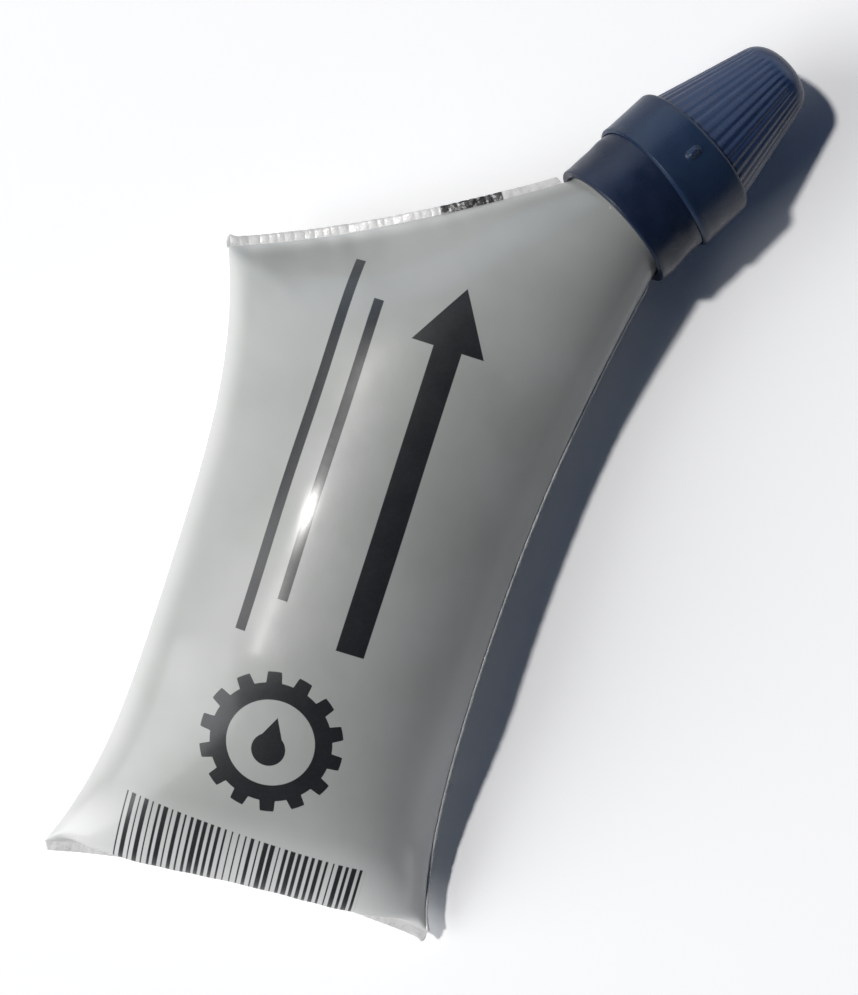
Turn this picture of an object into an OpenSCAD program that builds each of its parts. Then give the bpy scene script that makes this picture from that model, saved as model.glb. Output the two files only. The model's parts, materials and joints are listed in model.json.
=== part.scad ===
// A full tube of grease: a film pouch with a capped nozzle gripped in one corner.
// It lies on its back on a table. +Z is up, the bottom weld runs along X,
// and the spout points to the corner between +X and +Y.

/* [Pouch] */
// Width of the pouch along its bottom weld
pouch_w = 60.4; // [55:0.1:66]
// Thickness of the filled pouch as it lies
pouch_t = 25.6; // [21:0.1:30]
// Roundness of the crown, where 1 is an ellipse across and more makes the crown narrower
crown = 1.5; // [1:0.05:1.8]
// Depth to which the round underside is flattened on the table
settle = 1.2; // [0.8:0.1:2.5]
// Distance of the top left corner to the right of the bottom left corner
corner_x = 7.2; // [2:0.2:12]
// Distance of the top left corner above the bottom weld
corner_y = 95.2; // [88:0.2:102]
// Distance of the mouth centre to the right of the bottom left corner
mouth_x = 62.6; // [58:0.2:68]
// Distance of the mouth centre above the bottom weld
mouth_y = 110.6; // [106:0.2:117]
// How far the left fold is drawn in between its corners
left_draw = 6.6; // [2:0.1:9]
// How far the right weld is drawn in between its ends
right_draw = 5.6; // [2:0.1:8]
// How far the bottom weld is drawn in between its corners
bottom_draw = 2.6; // [0.5:0.1:6]
// How far the top weld is drawn in between its ends
top_draw = 1.5; // [0.5:0.1:4]
// How far the front panel bulges out over the bottom weld
bottom_bulge = 4.2; // [0:0.1:5.5]
// Distance from the bottom weld at which the front panel bulges most
bulge_at = 3.5; // [2.5:0.1:6]
// Height of the bottom weld above the table
bottom_z = 4.4; // [2.5:0.1:8]
// Slackness of the pouch beside its end welds, where 0 is blown up square
end_hold = 0.26; // [0.2:0.02:0.8]
// How far the top left corner hangs below the middle of the pouch
corner_drop = 3.8; // [0:0.1:7]
// Thickness of the film
film_t = 0.15; // [0.1:0.01:0.3]

/* [Welds] */
// Width of the crimped welds across the top and the bottom
crimp_w = 1.3; // [1:0.1:4]
// Pitch of the crimp ridges
crimp_pitch = 1.4; // [1:0.1:3]
// Height of the crimp ridges
crimp_h = 0.14; // [0.05:0.01:0.3]
// Width of the narrow side weld
side_weld_w = 0.5; // [0.3:0.05:1.5]

/* [Spout] */
// Angle of the spout from the long side of the pouch
spout_angle = 34; // [24:1:42]
// Angle by which the spout points down to the table
spout_droop = 5; // [0:0.5:7]
// Outer diameter of the film neck in the collar
mouth_d = 18.4; // [17:0.1:20]
// Length of film held in the collar
film_grip = 5.2; // [3:0.1:6.2]
// Depth of the spout inside the pouch
spout_depth = 3; // [1.5:0.1:5]
// Step from the spout's barrel down to its neck
neck_step = 0.9; // [0.5:0.05:1.2]
// Diameter of the grease passage
passage_d = 6.2; // [4:0.1:7.5]

/* [Collar] */
// Wall of the collar at its film edge
collar_wall = 1.55; // [1:0.05:2]
// Radius that the collar loses towards the nozzle
collar_taper = 0.1; // [0:0.05:0.4]
// Length of the collar in sight
collar_l = 8.3; // [6:0.1:10]

/* [Nozzle] */
// Length of the skirt
skirt_l = 8.7; // [8:0.1:13]
// Wall of the lip that overhangs the collar
lip_wall = 0.56; // [0.5:0.02:1]
// Length of collar under the lip
lip_overlap = 0.8; // [0.4:0.1:1.5]
// Width of the gap under the lip
lip_gap = 0.12; // [0.1:0.01:0.4]
// How far the lip stands out from the skirt
lip_bead = 0.08; // [0.04:0.01:0.3]
// Radius of the rounded shoulder
shoulder_r = 0.8; // [0.5:0.1:1.6]
// Thickness of the deck under the cap
deck_t = 1.8; // [1.2:0.1:3]
// Diameter of the threaded boss
boss_d = 13.8; // [12.5:0.1:14.4]
// Height of the threaded boss
boss_h = 5; // [3:0.1:7]
// Diameter of the nozzle at its root
nozzle_root_d = 8.6; // [7.8:0.1:9.4]
// Diameter of the nozzle at its tip
nozzle_tip_d = 5; // [4.2:0.1:6.2]
// Diameter of the outlet
outlet_d = 3; // [2:0.1:3.6]
// Length of the moulded nub on the skirt
nub_l = 2.6; // [2:0.1:4]
// Width of the moulded nub
nub_w = 1.6; // [1:0.1:2]
// Distance of the nub below the top of the skirt
nub_drop = 2; // [1:0.1:4]

/* [Cap] */
// Diameter of the cap at its foot
cap_d = 20.2; // [19:0.1:21]
// Diameter of the cap under its dome
cap_top_d = 12; // [11.6:0.1:14.5]
// Length of the fluted cone
cone_l = 16.4; // [14:0.1:20]
// Height of the domed end
dome_h = 2.3; // [1.5:0.1:4]
// Thickness of the cap's end
cap_end_t = 2.5; // [1.5:0.1:3]
// Wall of the cone
cap_wall = 1.5; // [1.2:0.05:2]
// Number of flutes
flutes = 40; // [24:1:48]
// Depth of the flutes at the foot
flute_depth = 0.32; // [0.1:0.02:0.4]
// Radius of the flute cutter
flute_r = 0.5; // [0.4:0.05:0.8]
// Plain length between the flutes and the dome
flute_fade = 1.5; // [0.5:0.1:4]
// Diameter of the sealing disc
disc_d = 8.6; // [7.2:0.1:9.2]
// Thickness of the sealing disc
disc_t = 1; // [0.6:0.1:1.6]

/* [Clearances] */
// Gap between pieces that are fixed together
seat_gap = 0.05; // [0.03:0.01:0.1]
// Gap between pieces that turn on each other
turn_gap = 0.1; // [0.05:0.01:0.2]
// Room for the threads between the boss and the cap
thread_gap = 0.35; // [0.2:0.01:0.5]
// Gap between the skirt and the table
table_gap = 0.3; // [0.2:0.1:1]

/* [Hidden] */
$fn = 96;

film_colour = "#b4b9b2";
weld_colour = "#d9dcd6";
grease_colour = "#2e3034";
plastic_colour = "#1b2230";
disc_colour = "#e9e6dc";

// Stations along the spout, from the collar's film edge
collar_h = collar_l + lip_overlap;
skirt_top = collar_l + skirt_l;
socket_top = skirt_top - deck_t;
boss_top = skirt_top + boss_h;
cap_foot = skirt_top + turn_gap;
cone_top = cap_foot + cone_l;
cap_end = cone_top + dome_h;
cavity_end = cap_end - cap_end_t;
disc_top = cavity_end - turn_gap;
nozzle_tip = disc_top - disc_t - turn_gap;

// Radii of the spout's pieces, from the film outwards
mouth_r = mouth_d / 2;
barrel_r = mouth_r - film_t - seat_gap;
collar_r = mouth_r + seat_gap + collar_wall;
collar_top_r = collar_r - collar_taper;
lip_in_r = collar_top_r + lip_gap;
lip_r = lip_in_r + lip_wall;
skirt_r = lip_r - lip_bead;
neck_r = barrel_r - neck_step;
cavity_r = boss_d / 2 + thread_gap;

// Directions and the place of the mouth
spout_dir = [sin(spout_angle) * cos(spout_droop), cos(spout_angle) * cos(spout_droop), -sin(spout_droop)];
spout_side = [cos(spout_angle), -sin(spout_angle), 0];
spout_up = cross(spout_side, spout_dir);
mouth_z = table_gap + skirt_top * sin(spout_droop) + lip_r * cos(spout_droop);
mouth = [mouth_x, mouth_y, mouth_z];

// Inner corners of the film, seen from above
film_neck_r = mouth_r - film_t;
bottom_left = [0, 0];
bottom_right = [pouch_w, 0];
top_left = [corner_x, corner_y];
neck_left = [mouth.x, mouth.y] - film_neck_r * [spout_side.x, spout_side.y];
neck_right = [mouth.x, mouth.y] + film_neck_r * [spout_side.x, spout_side.y];

// Half thickness and middle height of the filled pouch
belly_h = (pouch_t - film_t + settle) / 2;
belly_z = pouch_t - film_t - belly_h;

// Grid of each film panel: points across it, and rows up the fold and along the top weld
across = 18;
fold_rows = 17;
top_rows = 12;
rows = fold_rows + top_rows;
fold_share = 0.6;
right_share = 0.52;
mouth_blend = 0.72;

function ease(x) = let (c = min(1, max(0, x))) c * c * (3 - 2 * c);
function mix(a, b, k) = a + (b - a) * k;
function flat(list) = [for (row = list) for (p = row) p];
function unit(v) = v / norm(v);

// An edge of the pouch runs from a to b and is drawn in by draw, most in its middle.
// side is 1 where the pouch lies to the left of the edge, and -1 to the right.
function draw_shape(q, power, skew) = 1 - pow(abs(2 * pow(min(1, max(0, q)), skew) - 1), power);
function inward(a, b, side) = let (u = unit(b - a)) side * [-u.y, u.x];
function edge_point(e, q) = mix(e[0], e[1], q) + inward(e[0], e[1], e[2]) * e[3] * draw_shape(q, e[4], e[5]);
function edge_distance(e, p) =
    let (u = unit(e[1] - e[0]), q = (p - e[0]) * u / norm(e[1] - e[0]))
    (p - e[0]) * inward(e[0], e[1], e[2]) - e[3] * draw_shape(q, e[4], e[5]);

left_edge = [bottom_left, top_left, -1, left_draw, 3, 1];
right_edge = [bottom_right, neck_right, 1, right_draw, 2.2, 0.8];
bottom_edge = [bottom_left, bottom_right, 1, bottom_draw, 2, 1];
top_edge = [top_left, neck_left, -1, top_draw, 2, 1];

// Each row of the grid crosses the pouch from its left side to the right weld
row_share = [for (j = [0:rows]) j <= fold_rows
    ? fold_share * pow(j / fold_rows, 1.5)
    : mix(fold_share, 1, (j - fold_rows) / top_rows)];
function row_left(t) = t <= fold_share
    ? edge_point(left_edge, t / fold_share)
    : edge_point(top_edge, (t - fold_share) / (1 - fold_share));
function row_right(t) = edge_point(right_edge, t <= fold_share
    ? right_share * t / fold_share
    : mix(right_share, 1, (t - fold_share) / (1 - fold_share)));
function cross_share(i) = -cos(180 * i / across);
function row_bow(t) = bottom_draw * pow(1 - min(1, t / fold_share), 6);
function plan_point(s, t) =
    mix(row_left(t), row_right(t), (s + 1) / 2) + [0, row_bow(t) * (1 - s * s)];

// The filled pouch swells with the distance from its edges: steeply from the sides,
// at an even slope from the welds across its ends, and it is round at the mouth
least_distance = 0.02;
function edge_gap(e, p) = max(least_distance, edge_distance(e, p));
function swell(p) =
    let (sides = 1 / edge_gap(left_edge, p) + 1 / edge_gap(right_edge, p),
         ends = pow(edge_gap(bottom_edge, p), -2) + pow(edge_gap(top_edge, p), -2))
    1 / sqrt(sides + end_hold * end_hold * pouch_w * ends);
full_swell = max([for (j = [0:2:rows]) swell(plan_point(0, row_share[j]))]);
function mouth_share(t) = ease((t - mouth_blend) / (1 - mouth_blend));
function half_height(s, t) = abs(s) >= 1 || t <= 0 ? 0 :
    let (w = norm(row_right(t) - row_left(t)) / 2,
         round_h = mix(film_neck_r, w, 0.25) * sqrt(1 - s * s),
         full_h = belly_h * pow(swell(plan_point(s, t)) / full_swell, crown))
    mix(full_h, round_h, mouth_share(t));

// Height of the surface halfway between front and back
bottom_rise = 38;
corner_reach = 26;
function middle_z(s, t) =
    let (p = plan_point(s, t),
         z = mix(bottom_z, belly_z, ease(p.y / bottom_rise)),
         drop = corner_drop * exp(-pow(norm(p - top_left) / corner_reach, 2)))
    mix(z - drop, mouth_z, mouth_share(t));

// Inner face of a panel, with face 1 for the front and -1 for the back
function bulge(s, t) = let (d = edge_gap(bottom_edge, plan_point(s, t)) / bulge_at)
    bottom_bulge * pow(d * exp(1 - d), 3) * (1 - pow(s, 4));
function panel_point(s, t, face) =
    let (p = plan_point(s, t),
         h = half_height(s, t),
         up = unit([0, 0, 1] + mouth_share(t) * (spout_up - [0, 0, 1])),
         q = [p.x, p.y - (face > 0 ? bulge(s, t) : 0), middle_z(s, t)] + face * h * up)
    [q.x, q.y, max(q.z, film_t)];
function panel_grid(face) = concat(
    [for (t = row_share) [for (i = [0:across]) panel_point(cross_share(i), t, face)]],
    [[for (i = [0:across]) panel_point(cross_share(i), 1, face) + film_grip * spout_dir]]);

// Directions in which a panel's inner face is thickened
function rim_dir(g, j) = unit(g[j][across] - g[j][0]);
function mouth_dir(i, face) =
    let (s = cross_share(i)) s * spout_side + face * sqrt(max(0, 1 - s * s)) * spout_up;
function face_dir(g, i, j, face) =
    i == 0 ? -rim_dir(g, j) :
    i == across ? rim_dir(g, j) :
    j == 0 ? [0, -1, 0] :
    j >= rows ? mouth_dir(i, face) :
    face * unit(cross(g[j][i + 1] - g[j][i - 1], g[j + 1][i] - g[j - 1][i]));
function moved(g, d, face) = [for (j = [0:len(g) - 1])
    [for (i = [0:across]) let (q = g[j][i] + d * face_dir(g, i, j, face)) [q.x, q.y, max(q.z, 0)]]];

front_grid = panel_grid(1);
back_grid = panel_grid(-1);

// Two triangles for the cell between two rows of points, clockwise from outside
function cell(a, b, c, d) = [[a, b, c], [a, c, d]];
function turned(faces) = [for (f = faces) [f[2], f[1], f[0]]];

// Closed skin between an inner and an outer grid of the same size
module skin(inner, outer, face) {
    n = across + 1;
    m = len(inner);
    k = n * m;
    out_faces = flat([for (j = [0:m - 2]) for (i = [0:across - 1])
        cell(j * n + i, (j + 1) * n + i, (j + 1) * n + i + 1, j * n + i + 1)]);
    in_faces = [for (f = turned(out_faces)) f + [k, k, k]];
    left_faces = flat([for (j = [0:m - 2])
        cell(j * n + k, (j + 1) * n + k, (j + 1) * n, j * n)]);
    right_faces = flat([for (j = [0:m - 2])
        cell(j * n + across, (j + 1) * n + across, (j + 1) * n + across + k, j * n + across + k)]);
    start_faces = flat([for (i = [0:across - 1]) cell(i + k, i, i + 1, i + 1 + k)]);
    end = (m - 1) * n;
    end_faces = flat([for (i = [0:across - 1])
        cell(end + i, end + i + k, end + i + 1 + k, end + i + 1)]);
    faces = concat(out_faces, in_faces, left_faces, right_faces, start_faces, end_faces);
    polyhedron(concat(flat(outer), flat(inner)), face > 0 ? faces : turned(faces), convexity = 6);
}

// Bar along a run of stations, each a list of four points around it
module bar(stations) {
    m = len(stations);
    sides = flat([for (j = [0:m - 2]) for (i = [0:3]) let (k = (i + 1) % 4)
        cell(j * 4 + k, (j + 1) * 4 + k, (j + 1) * 4 + i, j * 4 + i)]);
    ends = concat(turned(cell(0, 1, 2, 3)), [for (f = cell(0, 1, 2, 3)) f + (m - 1) * [4, 4, 4]]);
    polyhedron(flat(stations), concat(sides, ends), convexity = 6);
}

// Four points of a weld: its root p, the direction d in which it stands out, its width and its wave
function weld_station(p, d, w, wave) =
    let (a = p + seat_gap * d + [0, 0, wave], b = a + w * d, h = [0, 0, film_t])
    [a - h, b - h, b + h, a + h];

module spout_frame() {
    translate(mouth) rotate([-90 - spout_droop, 0, -spout_angle]) children();
}

// The part's origin lies under the middle of its outline
cap_profile = concat([[cap_d / 2, cap_foot], [cap_top_d / 2, cone_top]],
    [for (a = [15:15:90]) [cap_top_d / 2 * cos(a), cone_top + dome_h * sin(a)]]);
function cap_reach(axis) = mouth[axis]
    + max([for (p = cap_profile) p[1] * spout_dir[axis] + p[0] * sqrt(1 - pow(spout_dir[axis], 2))]);
box_low = [-film_t, -film_t - seat_gap - crimp_w];
box_high = [cap_reach(0), cap_reach(1)];
module placed() {
    translate([-(box_low.x + box_high.x) / 2, -(box_low.y + box_high.y) / 2, 0]) children();
}

module front_film() {
    color(film_colour) placed() skin(front_grid, moved(front_grid, film_t, 1), 1);
}

module back_film() {
    color(film_colour) placed() skin(back_grid, moved(back_grid, film_t, -1), -1);
}

// Crimped weld along the top edge, from the free corner to just short of the collar
module top_weld() {
    q_end = 1 - (crimp_w + seat_gap) / norm(neck_left - top_left);
    steps = 2 * round(norm(neck_left - top_left) / crimp_pitch);
    stations = [for (k = [0:steps])
        let (q = q_end * k / steps,
             t = mix(fold_share, 1, q),
             e = edge_point(top_edge, q + 0.001) - edge_point(top_edge, q - 0.001),
             out = unit([-e.y, e.x, 0]),
             row = unit(row_left(t) - row_right(t)),
             p = row_left(t) + film_t * row,
             wave = (k % 2 - 0.5) * crimp_h)
        weld_station([p.x, p.y, middle_z(-1, t)], out, crimp_w, wave)];
    color(weld_colour) placed() bar([for (q = stations) [q[3], q[2], q[1], q[0]]]);
}

// Crimped weld across the bottom edge
module bottom_weld() {
    steps = 2 * round(pouch_w / crimp_pitch);
    stations = [for (k = [0:steps])
        let (s = mix(-1, 1, k / steps),
             p = plan_point(s, 0) - [0, film_t],
             wave = (k % 2 - 0.5) * crimp_h)
        weld_station([p.x, p.y, middle_z(s, 0)], [0, -1, 0], crimp_w, wave)];
    color(weld_colour) placed() bar(stations);
}

// Narrow weld along the right edge, from the bottom corner to the collar
module side_weld() {
    last = rows - 1;
    stations = [for (j = [0:last])
        let (t = row_share[j],
             row = unit(row_right(t) - row_left(t)),
             p = row_right(t) + film_t * row)
        weld_station([p.x, p.y, middle_z(1, t)], [row.x, row.y, 0], side_weld_w, 0)];
    color(weld_colour) placed() bar(stations);
}

// Grease that fills the pouch up to the spout
function mouth_depth(t) = let (p = (row_left(t) + row_right(t)) / 2)
    ([mouth.x, mouth.y] - p) * [sin(spout_angle), cos(spout_angle)];
module grease_fill() {
    last = max([for (j = [0:rows]) if (mouth_depth(row_share[j]) > spout_depth + seat_gap) j]);
    front = moved(front_grid, -seat_gap, 1);
    back = moved(back_grid, -seat_gap, -1);
    rings = [for (j = [1:last]) concat(
        [for (i = [0:across]) front[j][i]],
        [for (i = [across - 1:-1:1]) back[j][i]])];
    n = 2 * across;
    end = (last - 1) * n;
    front_faces = flat([for (j = [0:last - 2]) for (i = [0:across - 1])
        cell(j * n + i, (j + 1) * n + i, (j + 1) * n + i + 1, j * n + i + 1)]);
    back_faces = flat([for (j = [0:last - 2]) for (i = [across:n - 1]) let (k = (i + 1) % n)
        cell((j + 1) * n + i, (j + 1) * n + k, j * n + k, j * n + i)]);
    start_faces = [for (i = [0:across - 1]) let (a = (n - i) % n, b = n - i - 1) each concat(
        i < across - 1 ? [[i, i + 1, b]] : [],
        i > 0 ? [[i, b, a]] : [])];
    end_faces = [for (f = turned(start_faces)) f + end * [1, 1, 1]];
    color(grease_colour) placed()
        polyhedron(flat(rings), concat(front_faces, back_faces, start_faces, end_faces), convexity = 6);
}

// Fitment inside the film: a barrel with a narrower neck for the nozzle
module spout() {
    round_r = 0.5;
    color(plastic_colour) placed() spout_frame() rotate_extrude() polygon([
        [passage_d / 2, -spout_depth],
        [barrel_r - round_r, -spout_depth],
        [barrel_r, round_r - spout_depth],
        [barrel_r, collar_h],
        [neck_r, collar_h],
        [neck_r, socket_top - seat_gap],
        [passage_d / 2, socket_top - seat_gap]]);
}

// Band that grips the film on the spout
module collar() {
    round_r = 0.3;
    hook = film_grip + 2 * seat_gap;
    color(plastic_colour) placed() spout_frame() rotate_extrude() polygon([
        [mouth_r + seat_gap, 0],
        [collar_r - round_r, 0],
        [collar_r, round_r],
        [collar_top_r, collar_h],
        [barrel_r + seat_gap, collar_h],
        [barrel_r + seat_gap, hook],
        [mouth_r + seat_gap, hook]]);
}

// Skirt, deck, threaded boss and tapered nozzle in one moulding
module nozzle() {
    edge = 0.2;
    bead_l = 1.5;
    socket_r = neck_r + seat_gap;
    step = collar_h + seat_gap;
    shoulder = [for (a = [0:15:90])
        [skirt_r - shoulder_r * (1 - cos(a)), skirt_top - shoulder_r * (1 - sin(a))]];
    nub_r = nub_w / 2;
    nub_sink = 0.35;
    nub_turn = -2;
    color(plastic_colour) placed() spout_frame() {
        rotate_extrude() polygon(concat(
            [[lip_in_r, collar_l], [lip_r - edge, collar_l], [lip_r, collar_l + edge],
             [lip_r, collar_l + bead_l / 2], [skirt_r, collar_l + bead_l]],
            shoulder,
            [[boss_d / 2, skirt_top], [boss_d / 2, boss_top - edge], [boss_d / 2 - edge, boss_top],
             [nozzle_root_d / 2, boss_top], [nozzle_tip_d / 2, nozzle_tip],
             [outlet_d / 2, nozzle_tip], [outlet_d / 2, boss_top + boss_h],
             [passage_d / 2, skirt_top], [passage_d / 2, socket_top],
             [socket_r, socket_top], [socket_r, step], [lip_in_r, step]]));
        rotate([0, 0, nub_turn]) translate([0, nub_w * nub_sink - skirt_r, skirt_top - nub_drop - nub_r]) {
            translate([0, 0, nub_w - nub_l]) cylinder(d = nub_w, h = nub_l - nub_w, $fn = 32);
            sphere(d = nub_w, $fn = 32);
            translate([0, 0, nub_w - nub_l]) sphere(d = nub_w, $fn = 32);
        }
    }
}

// Hollow fluted cone with a domed end
module cap() {
    edge = 0.25;
    foot_l = boss_h + 1;
    flute_l = cone_l - flute_fade;
    fade_r = mix(cap_d, cap_top_d, flute_l / cone_l) / 2;
    flute_tilt = atan((cap_d / 2 - flute_depth - fade_r) / flute_l);
    seat_r = disc_d / 2 + turn_gap;
    cone_in_r = max(seat_r, mix(cap_d, cap_top_d, (disc_top - disc_t - cap_foot) / cone_l) / 2 - cap_wall);
    color(plastic_colour) placed() spout_frame() difference() {
        rotate_extrude() polygon(concat(
            [[cavity_r, cap_foot], [cap_d / 2 - edge, cap_foot], [cap_d / 2 - edge / 4, cap_foot + edge]],
            [for (i = [1:len(cap_profile) - 2]) cap_profile[i]],
            [[0, cap_end], [0, cavity_end], [seat_r, cavity_end], [seat_r, disc_top - disc_t - turn_gap],
             [cone_in_r, disc_top - disc_t - turn_gap], [cavity_r, cap_foot + foot_l]]));
        for (k = [0:flutes - 1])
            rotate([0, 0, 360 * k / flutes])
                translate([cap_d / 2 - flute_depth + flute_r, 0, cap_foot])
                    rotate([0, -flute_tilt, 0])
                        translate([0, 0, -1]) cylinder(r = flute_r, h = flute_l + 2, $fn = 4);
    }
}

// Soft disc in the end of the cap that closes the outlet
module cap_seal() {
    color(disc_colour) placed() spout_frame()
        translate([0, 0, disc_top - disc_t]) cylinder(d = disc_d, h = disc_t);
}

front_film();
back_film();
top_weld();
bottom_weld();
side_weld();
grease_fill();
spout();
collar();
nozzle();
cap();
cap_seal();
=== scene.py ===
"""Looks of a full film pouch of grease, with a collared nozzle and a fluted screw cap at its corner.

Shapes are worked out in millimetres in the part's frame, and become metres where a mesh is made.
"""
import json
import math

import bpy
import numpy as np
from mathutils import Matrix, Vector


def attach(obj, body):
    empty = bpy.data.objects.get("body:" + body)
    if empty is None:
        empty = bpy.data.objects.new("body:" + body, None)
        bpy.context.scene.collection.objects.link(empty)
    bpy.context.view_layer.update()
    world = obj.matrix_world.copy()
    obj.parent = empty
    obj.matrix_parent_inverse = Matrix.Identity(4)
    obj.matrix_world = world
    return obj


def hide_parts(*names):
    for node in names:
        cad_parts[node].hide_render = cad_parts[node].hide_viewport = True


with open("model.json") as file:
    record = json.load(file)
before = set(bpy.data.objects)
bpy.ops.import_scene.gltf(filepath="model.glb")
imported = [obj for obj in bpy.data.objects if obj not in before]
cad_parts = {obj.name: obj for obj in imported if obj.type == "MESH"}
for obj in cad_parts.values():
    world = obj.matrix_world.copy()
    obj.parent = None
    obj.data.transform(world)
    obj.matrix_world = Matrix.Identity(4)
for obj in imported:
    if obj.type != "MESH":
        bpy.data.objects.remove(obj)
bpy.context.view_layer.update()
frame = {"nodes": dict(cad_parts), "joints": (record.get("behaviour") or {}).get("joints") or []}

MM = 0.001

# Pouch, in a plan whose origin is the bottom left corner
POUCH_W = 60.4
POUCH_T = 25.6
CROWN = 1.5
SETTLE = 1.2
CORNER = np.array([7.2, 95.2])
MOUTH_X = 62.6
MOUTH_Y = 110.6
LEFT_DRAW = 6.6
RIGHT_DRAW = 5.6
BOTTOM_DRAW = 2.6
TOP_DRAW = 1.5
BOTTOM_BULGE = 4.2
BULGE_AT = 3.5
BOTTOM_Z = 4.4
BOTTOM_RISE = 38.0
END_HOLD = 0.26
CORNER_DROP = 3.8
CORNER_REACH = 26.0
FILM_T = 0.15
FILM_GRIP = 5.2
FOLD_SHARE = 0.6
RIGHT_SHARE = 0.52
MOUTH_BLEND = 0.72
NECK_SPREAD = 0.25
BOTTOM_FADE = 6
BULGE_FORM = 3
LEAST_GAP = 0.02

# Welds
CRIMP_W = 1.3
CRIMP_PITCH = 1.4
BEAD_H = 0.05
SCALLOP = 0.09
WELD_SPARE = 0.3
WELD_INSET = 0.15
WELD_END_R = 0.6
WELD_WANDER = 0.08
EAR_W = 0.75
EAR_L = 0.8
BOTTOM_BEADS = 0.5
TOP_BEADS_LOST = 0.75
TOP_BEADS_END = 0.84
TOP_BEADS_FADE = 0.1
TOP_WELD_FROM = -0.006
TOP_WELD_TO = 0.975
SIDE_WELD_W = 0.5
SIDE_WELD_H = 0.3
SIDE_WELD_TO = 0.985
SIDE_WELD_OUT = 0.08
SIDE_WELD_LIFT = 0.12
SIDE_WELD_END_R = 0.5

# Spout: sizes of its pieces
MOUTH_R = 9.2
SPOUT_DEPTH = 3.0
NECK_STEP = 0.9
PASSAGE_R = 3.1
SEAT_GAP = 0.05
TURN_GAP = 0.1
COLLAR_L = 8.3
COLLAR_WALL = 1.55
COLLAR_TAPER = 0.1
FILM_GROOVE = 0.5
SKIRT_L = 8.7
LIP_WALL = 0.56
LIP_OVERLAP = 0.8
LIP_GAP = 0.12
LIP_BEAD = 0.08
LIP_BEAD_L = 1.5
LIP_WAVE = 0.45
SHOULDER_R = 0.8
DECK_T = 1.8
BOSS_R = 6.9
BOSS_H = 5.0
NOZZLE_ROOT_R = 4.3
NOZZLE_TIP_R = 2.5
OUTLET_R = 1.5
NUB_L = 2.6
NUB_W = 1.6
NUB_H = 0.75
NUB_DROP = 2.7
NUB_TURN = 2.0

# Cap and its disc: sizes
CAP_R = 10.1
CAP_TOP_R = 6.0
CONE_L = 16.4
DOME_H = 2.3
CAP_END_T = 2.5
CAP_WALL = 1.5
THREAD_ROOM = 0.35
DISC_R = 4.3
DISC_T = 1.0
FLUTES = 40
FLUTE_DEPTH = 0.12
FLUTE_FORM = 1.3
FLUTE_STOP = 0.4
FLUTE_FADE = 1.6
CAP_BEND = 0.8
CAP_THREAD_L = 6

# Stations along the spout, from the collar's film edge
COLLAR_H = COLLAR_L + LIP_OVERLAP
SKIRT_TOP = COLLAR_L + SKIRT_L
SOCKET_TOP = SKIRT_TOP - DECK_T
BOSS_TOP = SKIRT_TOP + BOSS_H
OUTLET_FROM = BOSS_TOP + BOSS_H
NUB_AT = SKIRT_TOP - NUB_DROP - NUB_W / 2
CAP_FOOT = SKIRT_TOP + TURN_GAP
CONE_TOP = CAP_FOOT + CONE_L
CAP_END = CONE_TOP + DOME_H
CAVITY_END = CAP_END - CAP_END_T
DISC_TOP = CAVITY_END - TURN_GAP
DISC_LOW = DISC_TOP - DISC_T
NOZZLE_TIP = DISC_LOW - TURN_GAP

# Radii about the spout, from the film outwards
NECK_R = MOUTH_R - FILM_T
BARREL_R = NECK_R - SEAT_GAP
SOCKET_R = BARREL_R - NECK_STEP + SEAT_GAP
COLLAR_R = MOUTH_R + SEAT_GAP + COLLAR_WALL
COLLAR_TOP_R = COLLAR_R - COLLAR_TAPER
LIP_IN_R = COLLAR_TOP_R + LIP_GAP
LIP_R = LIP_IN_R + LIP_WALL
SKIRT_R = LIP_R - LIP_BEAD
CAVITY_R = BOSS_R + THREAD_ROOM

# Thread, which the CAD solids leave out
THREAD_PITCH = 2.1
THREAD_DEPTH = 0.5
THREAD_CREST = 0.2
THREAD_RUN_OUT = 0.5
THREAD_FLAT = 2.2
THREAD_FLANK = 5.5
BOSS_THREAD_INSET = 0.5
CAP_THREAD_FROM = 0.7
CAP_THREAD_TO = 5.6

# Where the spout points and where its mouth is, from the cap's hinge
hinge = next(j for j in frame["joints"] if j["name"] == "cap_unscrew")
spout_dir = np.array(hinge["axis"])
spout_side = np.cross(spout_dir, (0, 0, 1))
spout_side = spout_side / np.linalg.norm(spout_side)
spout_up = np.cross(spout_side, spout_dir)
mouth = np.array(hinge["pos_m"]) / MM - CAP_FOOT * spout_dir
plan_origin = mouth - (MOUTH_X, MOUTH_Y, mouth[2])


def ease(x):
    c = np.clip(x, 0, 1)
    return c * c * (3 - 2 * c)


def mix(a, b, k):
    return a + (b - a) * k


def unit(v):
    return v / np.linalg.norm(v, axis=-1, keepdims=True)


class Edge:
    """An edge of the pouch from a to b, drawn in most at its middle.

    Side is 1 where the pouch lies to its left, and -1 where it lies to its right.
    """

    def __init__(self, a, b, side, draw, power, skew):
        self.a, self.b = a, b
        self.draw, self.power, self.skew = draw, power, skew
        self.length = np.linalg.norm(b - a)
        self.along = (b - a) / self.length
        self.inward = side * np.array([-self.along[1], self.along[0]])

    def shape(self, q):
        return self.draw * (1 - np.abs(2 * np.clip(q, 0, 1) ** self.skew - 1) ** self.power)

    def point(self, q):
        q = np.asarray(q, float)[..., None]
        return mix(self.a, self.b, q) + self.inward * self.shape(q)

    def gap(self, p):
        d = p - self.a
        return np.maximum(LEAST_GAP, d @ self.inward - self.shape(d @ self.along / self.length))


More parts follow.
